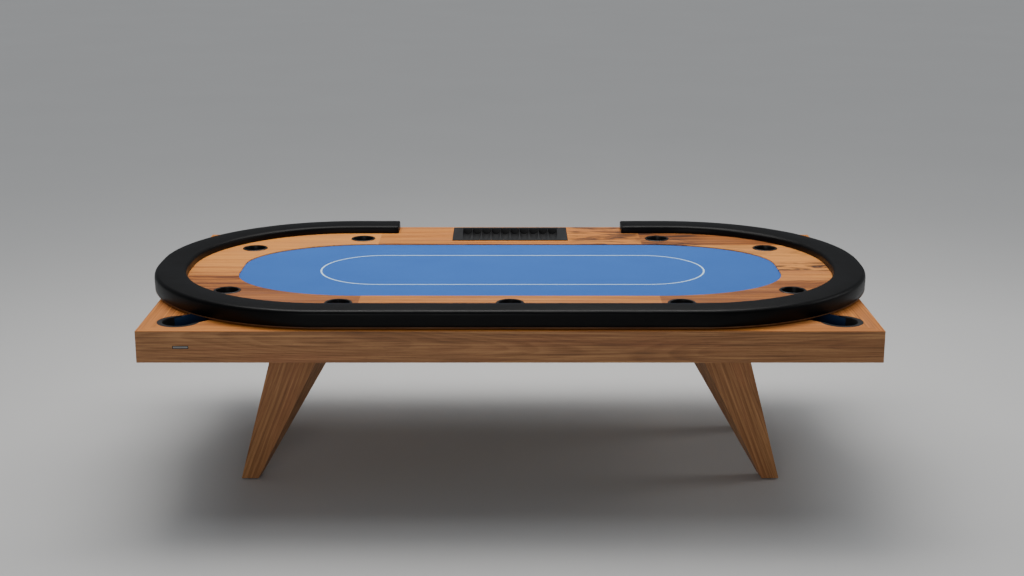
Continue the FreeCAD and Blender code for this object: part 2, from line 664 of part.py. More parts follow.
# ---- poker top: fastenings, pads and blocks --------------------------------------------
def make_top_fittings():
    bolts = []
    for x, y in arm_bolt_places():
        head = disc(x, y, BOARD_BOTTOM - ARM_BOLT_HEAD_H, BOARD_BOTTOM, ARM_BOLT_HEAD_R)
        bolts.append(head.fuse(disc(x, y, BOARD_BOTTOM, BOARD_BOTTOM + ARM_BOLT_L, ARM_BOLT_R)))
    write("armrest_bolts", group(bolts))

    pads = []
    blocks = []
    nose_y = DECK_W / 2 - NOSE_INSET - BLOCK_CLEARANCE
    nose_x = DECK_L / 2 - NOSE_INSET - BLOCK_CLEARANCE
    for sx, sy, name in quadrants():
        for x, y in ((sx * 330.0, sy * 695.0), (sx * 1255.0, sy * 160.0)):
            pads.append(box(x - SUPPORT_L / 2, y - SUPPORT_W / 2, DECK_Z,
                            x + SUPPORT_L / 2, y + SUPPORT_W / 2, BOARD_BOTTOM))
        side_block = box(300, nose_y - BLOCK_W, BOARD_BOTTOM - BLOCK_H, 300 + BLOCK_L, nose_y, BOARD_BOTTOM)
        end_block = box(nose_x - BLOCK_W, 80, BOARD_BOTTOM - BLOCK_H, nose_x, 80 + BLOCK_L, BOARD_BOTTOM)
        blocks += [mirrored(side_block, sx, sy), mirrored(end_block, sx, sy)]
    write("top_pads", group(pads))
    write("locating_blocks", group(blocks))


make_aprons()
write("name_plate", name_plate())
make_rails()
make_cushions()
make_bed()
make_pockets()
make_legs()
make_subframe()
make_boards()
make_armrest()
make_top_fittings()
make_tray()
make_cups()
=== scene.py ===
import math

import bmesh
import bpy
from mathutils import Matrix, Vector


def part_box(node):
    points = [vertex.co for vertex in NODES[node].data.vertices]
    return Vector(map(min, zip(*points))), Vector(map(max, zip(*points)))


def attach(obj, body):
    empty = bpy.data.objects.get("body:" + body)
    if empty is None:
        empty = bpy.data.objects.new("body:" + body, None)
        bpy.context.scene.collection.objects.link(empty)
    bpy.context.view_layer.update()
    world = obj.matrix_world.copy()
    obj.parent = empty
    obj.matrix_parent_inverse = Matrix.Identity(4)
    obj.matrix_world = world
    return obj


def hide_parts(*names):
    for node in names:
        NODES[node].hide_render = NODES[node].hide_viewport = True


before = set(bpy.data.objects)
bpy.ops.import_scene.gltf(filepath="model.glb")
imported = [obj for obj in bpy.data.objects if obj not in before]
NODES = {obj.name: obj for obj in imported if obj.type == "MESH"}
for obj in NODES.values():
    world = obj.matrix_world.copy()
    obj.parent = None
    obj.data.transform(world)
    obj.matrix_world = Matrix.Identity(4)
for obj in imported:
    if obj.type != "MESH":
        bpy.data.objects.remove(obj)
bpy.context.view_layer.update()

CORNERS = ["front_left", "front_right", "rear_left", "rear_right"]
POCKETS = CORNERS + ["front_middle", "rear_middle"]
SIDES = ["front", "rear", "left", "right"]

# ---- sizes read from the frame, in metres -----------------------------------------------
apron_low, apron_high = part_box("apron_front")
cloth_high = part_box("field_cloth")[1]
arm_low, arm_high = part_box("armrest_front")
race_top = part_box("racetrack_front")[1].z
DECK_TOP = apron_high.z
FRONT_Y = apron_low.y
CORNER_X = arm_high.x                     # centres of the oval's rounded corners
OUTER_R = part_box("armrest_right")[1].x - CORNER_X
CORNER_Y = -arm_low.y - OUTER_R
ARM_INNER_R = -arm_high.y - CORNER_Y
ARM_TOP = arm_high.z
FIELD_X = cloth_high.x
FIELD_Y = cloth_high.y
GAP_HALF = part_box("armrest_right")[0].x
BOARD_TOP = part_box("field_foam")[0].z


# ---- node trees -------------------------------------------------------------------------
class Graph:
    """A material's node tree with short calls for the nodes used here."""

    def __init__(self, name):
        self.material = bpy.data.materials.new(name)
        self.material.use_nodes = True
        self.tree = self.material.node_tree
        self.shader = self.tree.nodes["Principled BSDF"]

    def add(self, kind, **settings):
        node = self.tree.nodes.new(kind)
        for key, value in settings.items():
            setattr(node, key, value)
        return node

    def put(self, socket, value):
        """Link a socket, or set it where value is a number or a tuple."""
        if isinstance(value, bpy.types.NodeSocket):
            self.tree.links.new(value, socket)
        elif value is not None:
            socket.default_value = value

    def place(self):
        """Position in the row frame, in metres."""
        return self.add("ShaderNodeTexCoord").outputs["Object"]

    def mapping(self, vector, scale=(1, 1, 1), offset=(0, 0, 0), turn=(0, 0, 0)):
        node = self.add("ShaderNodeMapping")
        self.put(node.inputs["Vector"], vector)
        node.inputs["Scale"].default_value = scale
        node.inputs["Location"].default_value = offset
        node.inputs["Rotation"].default_value = turn
        return node.outputs["Vector"]

    def noise(self, vector, scale, detail=3.0, rough=0.5, distort=0.0):
        node = self.add("ShaderNodeTexNoise")
        self.put(node.inputs["Vector"], vector)
        node.inputs["Scale"].default_value = scale
        node.inputs["Detail"].default_value = detail
        node.inputs["Roughness"].default_value = rough
        node.inputs["Distortion"].default_value = distort
        return node.outputs["Fac"]

    def cells(self, vector, scale, feature="F1", jitter=1.0):
        node = self.add("ShaderNodeTexVoronoi", feature=feature)
        self.put(node.inputs["Vector"], vector)
        node.inputs["Scale"].default_value = scale
        node.inputs["Randomness"].default_value = jitter
        return node.outputs["Distance"]

    def math(self, operation, a, b=None, c=None):
        node = self.add("ShaderNodeMath", operation=operation)
        self.put(node.inputs[0], a)
        self.put(node.inputs[1], b)
        self.put(node.inputs[2], c)
        return node.outputs[0]

    def range(self, value, low, high, to_low=0.0, to_high=1.0, smooth=True):
        node = self.add("ShaderNodeMapRange")
        node.interpolation_type = "SMOOTHSTEP" if smooth else "LINEAR"
        self.put(node.inputs["Value"], value)
        for name, number in (("From Min", low), ("From Max", high), ("To Min", to_low), ("To Max", to_high)):
            self.put(node.inputs[name], number)
        return node.outputs["Result"]

    def mix(self, amount, a, b, blend="MIX"):
        node = self.add("ShaderNodeMix", data_type="RGBA", blend_type=blend)
        self.put(node.inputs[0], amount)
        self.put(node.inputs[6], a)
        self.put(node.inputs[7], b)
        return node.outputs[2]

    def ramp(self, value, *stops):
        node = self.add("ShaderNodeValToRGB")
        self.put(node.inputs["Fac"], value)
        elements = node.color_ramp.elements
        while len(elements) < len(stops):
            elements.new(0.5)
        for element, (position, colour) in zip(elements, stops):
            element.position = position
            element.color = (*colour, 1.0)
        return node.outputs["Color"]

    def split(self, vector):
        node = self.add("ShaderNodeSeparateXYZ")
        self.put(node.inputs[0], vector)
        return node.outputs

    def join(self, x, y, z):
        node = self.add("ShaderNodeCombineXYZ")
        for socket, value in zip(node.inputs, (x, y, z)):
            self.put(socket, value)
        return node.outputs[0]

    def bump(self, height, distance, strength=1.0, below=None):
        node = self.add("ShaderNodeBump")
        self.put(node.inputs["Height"], height)
        node.inputs["Distance"].default_value = distance
        node.inputs["Strength"].default_value = strength
        self.put(node.inputs["Normal"], below)
        return node.outputs["Normal"]

    def finish(self, colour, roughness, normal=None, metallic=0.0, specular=0.5, coat=0.0, coat_rough=0.1):
        self.put(self.shader.inputs["Base Color"], colour)
        self.put(self.shader.inputs["Roughness"], roughness)
        self.put(self.shader.inputs["Normal"], normal)
        self.shader.inputs["Metallic"].default_value = metallic
        self.shader.inputs["Specular IOR Level"].default_value = specular
        self.shader.inputs["Coat Weight"].default_value = coat
        self.shader.inputs["Coat Roughness"].default_value = coat_rough
        return self.material


def rgb(r, g, b):
    """Linear colour from display values of 0 to 255."""
    return tuple((v / 255) ** 2.2 for v in (r, g, b))


# ---- materials --------------------------------------------------------------------------
WARM = (rgb(222, 146, 70), rgb(184, 111, 48), rgb(100, 55, 26))
PLAIN = (rgb(200, 146, 96), rgb(158, 108, 68), rgb(88, 56, 36))
WOOD_FIGURE = rgb(58, 38, 30)
GRAIN_TURNS = {"X": (0, 0, 0), "Y": (0, 0, math.radians(90)), "Z": (0, math.radians(90), 0)}


def walnut(name, turn=(0, 0, 0), seed=0.0, pith=(0.0, 0.02, 0.11), tone=1.0, planks=(), figure=(),
           knots=0.0, spread=1.0, ring_share=0.2, contrast=1.0, shades=WARM, plank_contrast=0.2):
    """Oiled walnut with the grain along X after turn. pith places the heart of the log.

    planks are joints along Y. figure is a list of dark swirled areas: x0, x1, y0, y1, soft edge and
    strength."""
    g = Graph(name)
    raw = g.mapping(g.place(), turn=turn)
    x, y, z = g.split(raw)[0:3]
    shift = 0.0
    joint = 0.0
    plank_tone = 0.5
    if planks:
        # boards side by side along X: each gets its own place in the log, with a fine joint between them
        for number, edge in enumerate(planks):
            past = g.math("GREATER_THAN", y, edge)
            shift = g.math("ADD", shift, g.math("MULTIPLY", past, 1.37 + 0.61 * (number % 3)))
            near = g.range(g.math("ABSOLUTE", g.math("SUBTRACT", y, edge)), 0.0006, 0.0016, 1.0, 0.0)
            joint = g.math("MAXIMUM", joint, near)
        lot = g.add("ShaderNodeTexWhiteNoise", noise_dimensions="1D")
        g.put(lot.inputs["W"], g.math("ADD", shift, seed + 0.5))
        plank_tone = lot.outputs["Value"]
    along = g.math("ADD", g.math("ADD", x, seed * 3.7), shift)
    place = g.join(along, y, z)
    drift = g.noise(g.mapping(place, scale=(0.55, 2.2, 2.2)), 1.0, 2.0, 0.5)
    wander = g.noise(g.mapping(place, scale=(1.6, 9.0, 9.0)), 1.0, 3.0, 0.55)
    knot_far = g.cells(g.mapping(place, scale=(2.1, 6.5, 6.5), offset=(seed, 0.3, 0.2)), 1.0)
    knot = g.math("MULTIPLY", g.range(knot_far, 0.06, 0.34, 1.0, 0.0), knots)
    drifted = g.math("MULTIPLY", g.math("SUBTRACT", drift, 0.5), 0.16)
    across = g.math("ADD", g.math("SUBTRACT", y, pith[1]), drifted)
    wandered = g.math("MULTIPLY", g.math("SUBTRACT", wander, 0.5), 0.035)
    depth = g.math("ADD", g.math("SUBTRACT", z, pith[2]), wandered)
    depth = g.math("ADD", depth, g.math("MULTIPLY", g.math("SINE", g.math("MULTIPLY", along, 1.9)), 0.03))
    radius = g.math("SQRT", g.math("ADD", g.math("MULTIPLY", across, across), g.math("MULTIPLY", depth, depth)))
    radius = g.math("ADD", radius, g.math("MULTIPLY", knot, 0.045))
    rings = g.math("MULTIPLY", radius, 92.0 / spread)
    ring_wave = g.math("FRACT", g.math("ADD", rings, g.math("MULTIPLY", wander, 1.2)))
    ring = g.math("MULTIPLY", g.range(ring_wave, 0.0, 0.8), g.range(ring_wave, 0.82, 1.0, 1.0, 0.0))
    streak = g.noise(g.mapping(place, scale=(1.5, 92.0, 92.0), offset=(4.0, 1.0, 2.0)), 1.0, 5.0, 0.64, 0.3)
    fine = g.noise(g.mapping(place, scale=(5.0, 210.0, 210.0)), 1.0, 4.0, 0.6)
    fibre = g.noise(g.mapping(place, scale=(14.0, 760.0, 760.0)), 1.0, 2.0, 0.6)
    pore = g.range(g.noise(g.mapping(place, scale=(38.0, 1150.0, 1150.0)), 1.0, 1.0), 0.63, 0.74)
    cloud = g.noise(g.mapping(place, scale=(1.1, 7.0, 7.0)), 1.0, 4.0, 0.6, 0.6)

    value = g.math("MULTIPLY", ring, ring_share)
    value = g.math("ADD", value, g.math("MULTIPLY", fine, 0.36))
    value = g.math("ADD", value, g.math("MULTIPLY", streak, 0.8))
    value = g.math("ADD", value, g.math("MULTIPLY", cloud, 0.36))
    value = g.math("ADD", value, g.math("MULTIPLY", fibre, 0.14))
    value = g.math("ADD", value, g.math("MULTIPLY", g.math("SUBTRACT", plank_tone, 0.5), plank_contrast))
    value = g.math("MULTIPLY", g.math("SUBTRACT", value, 0.83 + ring_share / 2), contrast)
    value = g.math("ADD", value, 0.44)
    colour = g.ramp(value, (0.14, shades[0]), (0.48, shades[1]), (0.88, shades[2]))
    blush = g.range(g.noise(g.mapping(place, scale=(1.7, 12.0, 12.0), offset=(7, 3, 1)), 1.0, 3.0), 0.45, 0.7)
    colour = g.mix(g.math("MULTIPLY", blush, 0.35), colour, (*rgb(176, 112, 74), 1))
    if figure:
        swirl = g.noise(g.mapping(place, scale=(3.2, 13.0, 13.0), offset=(2.4, 0.7, 0.0)), 1.0, 5.0, 0.62, 1.9)
        dark = g.range(swirl, 0.44, 0.62)
        area = 0.0
        for x0, x1, y0, y1, soft, strength in figure:
            inside = g.range(x, x0 - soft, x0 + soft)
            inside = g.math("MULTIPLY", inside, g.range(x, x1 - soft, x1 + soft, 1.0, 0.0))
            inside = g.math("MULTIPLY", inside, g.range(y, y0 - 0.001, y0 + 0.001))
            inside = g.math("MULTIPLY", inside, g.range(y, y1 - 0.001, y1 + 0.001, 1.0, 0.0))
            area = g.math("MAXIMUM", area, g.math("MULTIPLY", inside, strength))
        colour = g.mix(g.math("MULTIPLY", dark, area), colour, (*WOOD_FIGURE, 1))
    if knots:
        heart = g.math("MULTIPLY", g.range(knot_far, 0.03, 0.16, 1.0, 0.0), knots)
        colour = g.mix(g.math("MULTIPLY", knot, 0.35), colour, (*shades[2], 1))
        colour = g.mix(g.math("MULTIPLY", heart, 0.8), colour, (*WOOD_FIGURE, 1))
    colour = g.mix(g.math("MULTIPLY", pore, 0.42), colour, (*rgb(70, 42, 26), 1))
    if planks:
        colour = g.mix(g.math("MULTIPLY", joint, 0.55), colour, (*rgb(58, 34, 20), 1))
    colour = g.mix(1.0, colour, (tone, tone, tone, 1), "MULTIPLY")
    height = g.math("SUBTRACT", g.math("MULTIPLY", fine, 0.5), g.math("ADD", pore, joint))
    rough = g.range(fine, 0.3, 0.7, 0.40, 0.52)
    return g.finish(colour, rough, g.bump(height, 0.00025, 0.6), specular=0.4)


def vinyl():
    """Black satin vinyl with a pebbled grain and faint handling marks."""
    g = Graph("vinyl")
    place = g.place()
    pebble = g.cells(place, 780.0, "SMOOTH_F1")
    crease = g.cells(g.mapping(place, offset=(0.3, 0.1, 0.2)), 420.0, "DISTANCE_TO_EDGE")
    soft = g.noise(place, 16.0, 4.0, 0.6)
    handled = g.noise(place, 3.1, 3.0, 0.55, 0.4)
    colour = g.mix(g.range(soft, 0.3, 0.7), (0.0014, 0.0014, 0.0016, 1), (0.0022, 0.0022, 0.0024, 1))
    rough = g.math("ADD", g.range(handled, 0.35, 0.7, 0.34, 0.42), g.math("MULTIPLY", pebble, 0.04))
    height = g.math("ADD", g.math("MULTIPLY", pebble, 0.7), g.math("MULTIPLY", g.range(crease, 0.0, 0.12), 0.5))
    normal = g.bump(soft, 0.0016, 0.25, g.bump(height, 0.00016, 0.5))
    return g.finish(colour, rough, normal, specular=0.13)


def cloth(name, shade, deep, line=None):
    """Fine twill speed cloth. line is a printed oval: radius, half width, half straight, centre."""
    g = Graph(name)
    place = g.place()
    x, y, z = g.split(place)[0:3]
    pitch = 2600.0
    warp = g.math("SINE", g.math("MULTIPLY", g.math("ADD", x, y), pitch))
    weft = g.math("SINE", g.math("MULTIPLY", g.math("SUBTRACT", x, y), pitch))
    weave = g.math("MULTIPLY", g.math("MULTIPLY", warp, weft), 0.5)
    fuzz = g.noise(place, 900.0, 2.0, 0.7)
    cloud = g.noise(place, 5.0, 4.0, 0.55)
    level = g.math("ADD", g.math("MULTIPLY", cloud, 0.6), g.math("MULTIPLY", fuzz, 0.35))
    level = g.math("ADD", level, g.math("MULTIPLY", weave, 0.18))
    colour = g.mix(g.range(level, 0.25, 0.75, smooth=False), (*deep, 1), (*shade, 1))
    if line:
        radius, half, straight, middle_x, middle_y = line
        along = g.math("ABSOLUTE", g.math("SUBTRACT", x, middle_x))
        outside = g.math("MAXIMUM", g.math("SUBTRACT", along, straight), 0.0)
        across = g.math("SUBTRACT", y, middle_y)
        squares = g.math("ADD", g.math("MULTIPLY", outside, outside), g.math("MULTIPLY", across, across))
        reach = g.math("SQRT", squares)
        away = g.math("ABSOLUTE", g.math("SUBTRACT", reach, radius))
        print_edge = g.range(away, half * 0.75, half * 1.15, 1.0, 0.0)
        print_wear = g.range(g.noise(place, 260.0, 3.0), 0.3, 0.42, 0.88, 1.0)
        colour = g.mix(g.math("MULTIPLY", print_edge, print_wear), colour, (*rgb(196, 230, 255), 1))
    normal = g.bump(g.math("ADD", weave, fuzz), 0.00018, 0.5)
    g.shader.inputs["Sheen Weight"].default_value = 0.12
    g.shader.inputs["Sheen Roughness"].default_value = 0.45
    return g.finish(colour, 0.88, normal, specular=0.2)


def moulded(name, colour, rough, grain=900.0, depth=0.00008, specular=0.45, metallic=0.0):
    """Moulded plastic, rubber or coated metal with a fine texture and scuffs."""
    g = Graph(name)
    place = g.place()
    speck = g.noise(place, grain, 2.0, 0.6)
    scuff = g.noise(g.mapping(place, scale=(40, 9, 40)), 1.0, 5.0, 0.7)
    tint = g.mix(g.range(scuff, 0.4, 0.75), (*colour, 1), (*[c * 1.35 + 0.002 for c in colour], 1))
    surface = g.range(scuff, 0.3, 0.8, rough - 0.05, rough + 0.08)
    return g.finish(tint, surface, g.bump(speck, depth, 0.5), metallic, specular)


def brushed(name, colour, rough, along=(4.0, 900.0, 900.0)):
    """Brushed metal with short lines along X."""
    g = Graph(name)
    place = g.place()
    lines = g.noise(g.mapping(place, scale=along), 1.0, 4.0, 0.7)
    tint = g.mix(g.range(lines, 0.3, 0.7), (*[c * 0.8 for c in colour], 1), (*colour, 1))
    return g.finish(tint, g.range(lines, 0.3, 0.7, rough, rough + 0.16), g.bump(lines, 0.00004, 0.5), 1.0)


def plate():
    """Small blank metal plate with a dark enamel border."""
    low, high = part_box("name_plate")
    g = Graph("plate_metal")
    place = g.place()
    x, y, z = g.split(place)[0:3]
    off_x = g.math("ABSOLUTE", g.math("SUBTRACT", x, (low.x + high.x) / 2))
    off_z = g.math("ABSOLUTE", g.math("SUBTRACT", z, (low.z + high.z) / 2))
    from_x = g.math("SUBTRACT", (high.x - low.x) / 2, off_x)
    from_z = g.math("SUBTRACT", (high.z - low.z) / 2, off_z)
    border = g.range(g.math("MINIMUM", from_x, from_z), 0.0018, 0.0026, 1.0, 0.0)
    lines = g.noise(g.mapping(place, scale=(8.0, 900.0, 900.0)), 1.0, 4.0, 0.7)
    metal = g.mix(g.range(lines, 0.3, 0.7), (0.20, 0.195, 0.185, 1), (0.30, 0.29, 0.28, 1))
    colour = g.mix(border, metal, (0.012, 0.012, 0.012, 1))
    return g.finish(colour, g.range(lines, 0.3, 0.7, 0.3, 0.46), g.bump(lines, 0.00004, 0.5), 0.85)


def slate():
    g = Graph("slate")
    place = g.place()
    layer = g.noise(g.mapping(place, scale=(3, 3, 90)), 1.0, 5.0, 0.6)
    grit = g.noise(place, 500.0, 3.0, 0.7)
    colour = g.mix(g.range(layer, 0.35, 0.65), (0.035, 0.038, 0.043, 1), (0.075, 0.08, 0.088, 1))
    return g.finish(colour, 0.7, g.bump(g.math("ADD", layer, grit), 0.0005, 0.5), specular=0.3)


def plywood(name):
    """Plain birch ply: pale face with long fibres and darker glue lines on the edges."""
    g = Graph(name)
    place = g.place()
    x, y, z = g.split(place)[0:3]
    fibre = g.noise(g.mapping(place, scale=(5, 160, 160)), 1.0, 5.0, 0.6)
    ply = g.range(g.math("ABSOLUTE", g.math("SINE", g.math("MULTIPLY", z, 1450.0))), 0.0, 0.25, 1.0, 0.0)
    colour = g.mix(g.range(fibre, 0.3, 0.7), (*rgb(196, 162, 116), 1), (*rgb(166, 128, 86), 1))
    colour = g.mix(g.math("MULTIPLY", ply, 0.35), colour, (*rgb(96, 66, 42), 1))
    return g.finish(colour, 0.6, g.bump(fibre, 0.0002, 0.5), specular=0.3)


def foam():
    g = Graph("foam")
    place = g.place()
    bubble = g.cells(place, 1400.0)
    colour = g.mix(g.range(bubble, 0.0, 0.8), (*rgb(206, 204, 196), 1), (*rgb(172, 170, 160), 1))
    return g.finish(colour, 0.9, g.bump(bubble, 0.0003, 0.6), specular=0.2)


def dress(obj, material):
    """Give an object one material on every face."""
    if not obj.data.materials:
        obj.data.materials.append(material)
    for index in range(len(obj.data.materials)):
        obj.data.materials[index] = material


# ---- mesh helpers -----------------------------------------------------------------------
def new_piece(name, verts, faces, material, body, smooth=True):
    """Mesh object in the row frame that rides on a body."""
    mesh = bpy.data.meshes.new(name)
    mesh.from_pydata([tuple(v) for v in verts], [], faces)
    mesh.update()
    piece = bpy.data.objects.new(name, mesh)
    bpy.context.scene.collection.objects.link(piece)
    outwards = bmesh.new()
    outwards.from_mesh(mesh)
    bmesh.ops.recalc_face_normals(outwards, faces=outwards.faces)
    outwards.to_mesh(mesh)
    outwards.free()
    dress(piece, material)
    for polygon in mesh.polygons:
        polygon.use_smooth = smooth
    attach(piece, body)
    return piece


def crease_by_angle(piece, degrees=35):
    """Smooth shading that breaks at sharp edges."""
    with bpy.context.temp_override(object=piece, active_object=piece, selected_objects=[piece],
                                   selected_editable_objects=[piece]):
        bpy.ops.object.shade_smooth_by_angle(angle=math.radians(degrees))


def softened(node, name, width, segments, material, body, angle=30):
    """Copy of a CAD node with rounded edges, standing for it."""
    source = NODES[node]
    piece = bpy.data.objects.new(name, source.data.copy())
    bpy.context.scene.collection.objects.link(piece)
    work = bmesh.new()
    work.from_mesh(piece.data)
    bmesh.ops.remove_doubles(work, verts=work.verts, dist=0.00002)
    bmesh.ops.dissolve_limit(work, angle_limit=math.radians(1.0), verts=work.verts, edges=work.edges)
    sharp = [e for e in work.edges if len(e.link_faces) == 2 and e.calc_face_angle(0) > math.radians(angle)]
    bmesh.ops.bevel(work, geom=sharp, offset=width, segments=segments, profile=0.5, affect="EDGES",
                    clamp_overlap=True)
    work.to_mesh(piece.data)
    work.free()
    dress(piece, material)
    crease_by_angle(piece)
    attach(piece, body)
    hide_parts(node)
    return piece


def lathe(name, outline, centre, material, body, steps=72):
    """Turned piece from (radius, height) points; the outline is a closed wall or starts on the axis."""
    verts = []
    faces = []
    rings = []
    for radius, height in outline:
        if radius < 1e-6:
            rings.append([len(verts)])
            verts.append((centre[0], centre[1], height))
            continue
        rings.append(list(range(len(verts), len(verts) + steps)))
        for step in range(steps):
            angle = 2 * math.pi * step / steps
            verts.append((centre[0] + radius * math.cos(angle), centre[1] + radius * math.sin(angle), height))
    for lower, upper in zip(rings, rings[1:]):
        for step in range(steps):
            after = (step + 1) % steps
            if len(lower) == 1:
                faces.append((lower[0], upper[step], upper[after]))
            elif len(upper) == 1:
                faces.append((lower[step], lower[after], upper[0]))
            else:
                faces.append((lower[step], lower[after], upper[after], upper[step]))
    return new_piece(name, verts, faces, material, body)


def corner_walk(sx, sy, start, end, steps):
    """Stations round one corner; start and end are degrees from +X towards +Y before mirroring."""
    stations = []
    for step in range(steps):
        angle = math.radians(start + (end - start) * step / steps)
        stations.append((sx * CORNER_X, sy * CORNER_Y, sx * math.cos(angle), sy * math.sin(angle)))
    return stations


def oval_path():
    """Stations round the armrest from the right end of the dealer's gap to the left one.

    Each is (x, y, nx, ny): a point on the rectangle through the corner centres and the outward
    direction there."""
    stations = []
    for step in range(6):
        stations.append((GAP_HALF + (CORNER_X - GAP_HALF) * step / 6, CORNER_Y, 0.0, 1.0))
    stations += corner_walk(1, 1, 90, 0, 36)
    stations += [(CORNER_X, CORNER_Y, 1.0, 0.0), (CORNER_X, 0.0, 1.0, 0.0)]
    stations += corner_walk(1, -1, 0, 90, 36)
    for step in range(44):
        stations.append((CORNER_X - 2 * CORNER_X * step / 44, -CORNER_Y, 0.0, -1.0))
    stations += corner_walk(-1, -1, 90, 0, 36)
    stations += [(-CORNER_X, -CORNER_Y, -1.0, 0.0), (-CORNER_X, 0.0, -1.0, 0.0)]
    stations += corner_walk(-1, 1, 0, 90, 36)
    for step in range(7):
        stations.append((-CORNER_X + (CORNER_X - GAP_HALF) * step / 6, CORNER_Y, 0.0, 1.0))
    return stations


# ---- armrest ----------------------------------------------------------------------------
ARM_EDGE = 0.016            # radius of the padded edges
ARM_LEAN = 0.001            # the inner wall leans outwards by this
ARM_CROWN = 0.0022          # the top is slightly fuller in the middle
END_ROUND = 0.005
SKIRT = 0.003
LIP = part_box("armrest_front")[0].z


def arc(centre, radius, start, end, steps):
    """Points of an arc in the section plane, in degrees."""
    points = []
    for step in range(steps + 1):
        angle = math.radians(start + (end - start) * step / steps)
        points.append((centre[0] + radius * math.cos(angle), centre[1] + radius * math.sin(angle)))
    return points


def armrest_outline():
    """Closed section of the padded armrest as (distance outwards, height) points."""
    edge_z = ARM_TOP - ARM_CROWN - ARM_EDGE
    inner = ARM_INNER_R + ARM_LEAN + ARM_EDGE
    outer = OUTER_R - ARM_EDGE
    points = [(ARM_INNER_R + 0.0004, BOARD_TOP + 0.0006), (ARM_INNER_R + 0.0004, race_top + 0.0004)]
    points.append((ARM_INNER_R + 0.55 * ARM_LEAN - 0.0012, (race_top + edge_z) / 2))
    points += arc((inner, edge_z), ARM_EDGE, 180, 92, 7)
    for share in (0.2, 0.35, 0.5, 0.65, 0.8):
        rise = ARM_CROWN * (1 - (2 * share - 1) ** 2)
        points.append((inner + (outer - inner) * share, edge_z + ARM_EDGE + rise))
    points += arc((outer, edge_z), ARM_EDGE, 88, 0, 7)
    points += [(OUTER_R + 0.0006, edge_z - 0.012), (OUTER_R + 0.0004, (edge_z + LIP) / 2)]
    points += [(OUTER_R - 0.0002, LIP + 0.003), (OUTER_R - 0.0012, LIP + 0.0008)]
    points += [(OUTER_R - SKIRT + 0.0004, LIP + 0.0006), (OUTER_R - SKIRT + 0.0004, BOARD_TOP + 0.0006)]
    return points


def padded_armrest(material):
    outline = armrest_outline()
    size = len(outline)
    middle = (sum(p[0] for p in outline) / size, (BOARD_TOP + ARM_TOP) / 2)
    stations = oval_path()
    caps = [(0.0, 1.0), (0.0015, 0.35), (END_ROUND, 0.0)]
    rows = [(GAP_HALF + depth, CORNER_Y, 0.0, 1.0, shrink) for depth, shrink in caps]
    rows += [(*station, 0.0) for station in stations[1:-1]]
    rows += [(-GAP_HALF - depth, CORNER_Y, 0.0, 1.0, shrink) for depth, shrink in reversed(caps)]
    verts = []
    for number, (x, y, nx, ny, shrink) in enumerate(rows):
        for radius, height in outline:
            # the end of the roll is drawn in a little all round, as a sewn end panel pulls it
            r = radius + (middle[0] - radius) * shrink * END_ROUND / 0.065
            h = height + (middle[1] - height) * shrink * END_ROUND / 0.028
            if height < race_top:
                h = height
            # the cover is pulled down over the outer edge by hand, which leaves it very slightly uneven
            pull = 0.00035 * math.sin(number * 0.83) * math.sin(number * 0.29 + height * 60)
            if height > ARM_TOP - 0.02:
                h -= abs(pull)
            verts.append((x + nx * (r + pull), y + ny * (r + pull), h))
    faces = []
    for row in range(len(rows) - 1):
        for column in range(size):
            after = (column + 1) % size
            faces.append((row * size + column, row * size + after, (row + 1) * size + after,
                          (row + 1) * size + column))
    faces.append(tuple(range(size)))
    last = (len(rows) - 1) * size
    faces.append(tuple(last + column for column in reversed(range(size))))
    piece = new_piece("armrest_pad", verts, faces, material, "poker_top")
    crease_by_angle(piece, 50)
    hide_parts("armrest_front", "armrest_left", "armrest_right")
    return piece


# ---- playing cloth ----------------------------------------------------------------------
LINE = (0.2375, 0.0034, 0.5255, 0.010, -0.004)     # radius, half width, half straight, centre x and y
FIELD_SIDE = 0.570          # half length of the cloth's straight sides
FIELD_END = 0.070           # and of its straight ends


def field_outline(inset):
    """Points round the playing field, whose corners are quarter ellipses."""
    quarter = [(FIELD_SIDE * step / 14, FIELD_Y - inset) for step in range(14)]
    for step in range(37):
        angle = math.radians(90 - 90 * step / 36)
        quarter.append((FIELD_SIDE + (FIELD_X - FIELD_SIDE - inset) * math.cos(angle),
                        FIELD_END + (FIELD_Y - FIELD_END - inset) * math.sin(angle)))
    quarter.append((FIELD_X - inset, 0.0))
    points = [(x, y) for x, y in quarter]
    points += [(x, -y) for x, y in reversed(quarter[:-1])]
    points += [(-x, -y) for x, y in quarter[1:]]
    points += [(-x, y) for x, y in reversed(quarter[1:-1])]
    return points


def field_sheet(material):
    """Cloth stretched over the foam, with its edge rolled down into the recess."""
    top = cloth_high.z
    rings = [(0.0, -0.0011), (0.0003, -0.0004), (0.001, 0.0), (0.012, 0.0), (0.06, 0.0), (0.14, 0.0)]
    rings += [(0.24, 0.0), (0.33, 0.0)]
    verts = []
    for inset, drop in rings:
        verts += [(x, y, top + drop) for x, y in field_outline(inset)]
    size = len(verts) // len(rings)
    faces = []
    for row in range(len(rings) - 1):
        for column in range(size):
            after = (column + 1) % size
            faces.append((row * size + column, row * size + after, (row + 1) * size + after,
                          (row + 1) * size + column))
    faces.append(tuple((len(rings) - 1) * size + column for column in range(size)))
    piece = new_piece("field_cloth_sheet", verts, faces, material, "poker_top")
    for polygon in piece.data.polygons:
        if polygon.normal.z < 0:
            polygon.flip()
    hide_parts("field_cloth")
    return piece


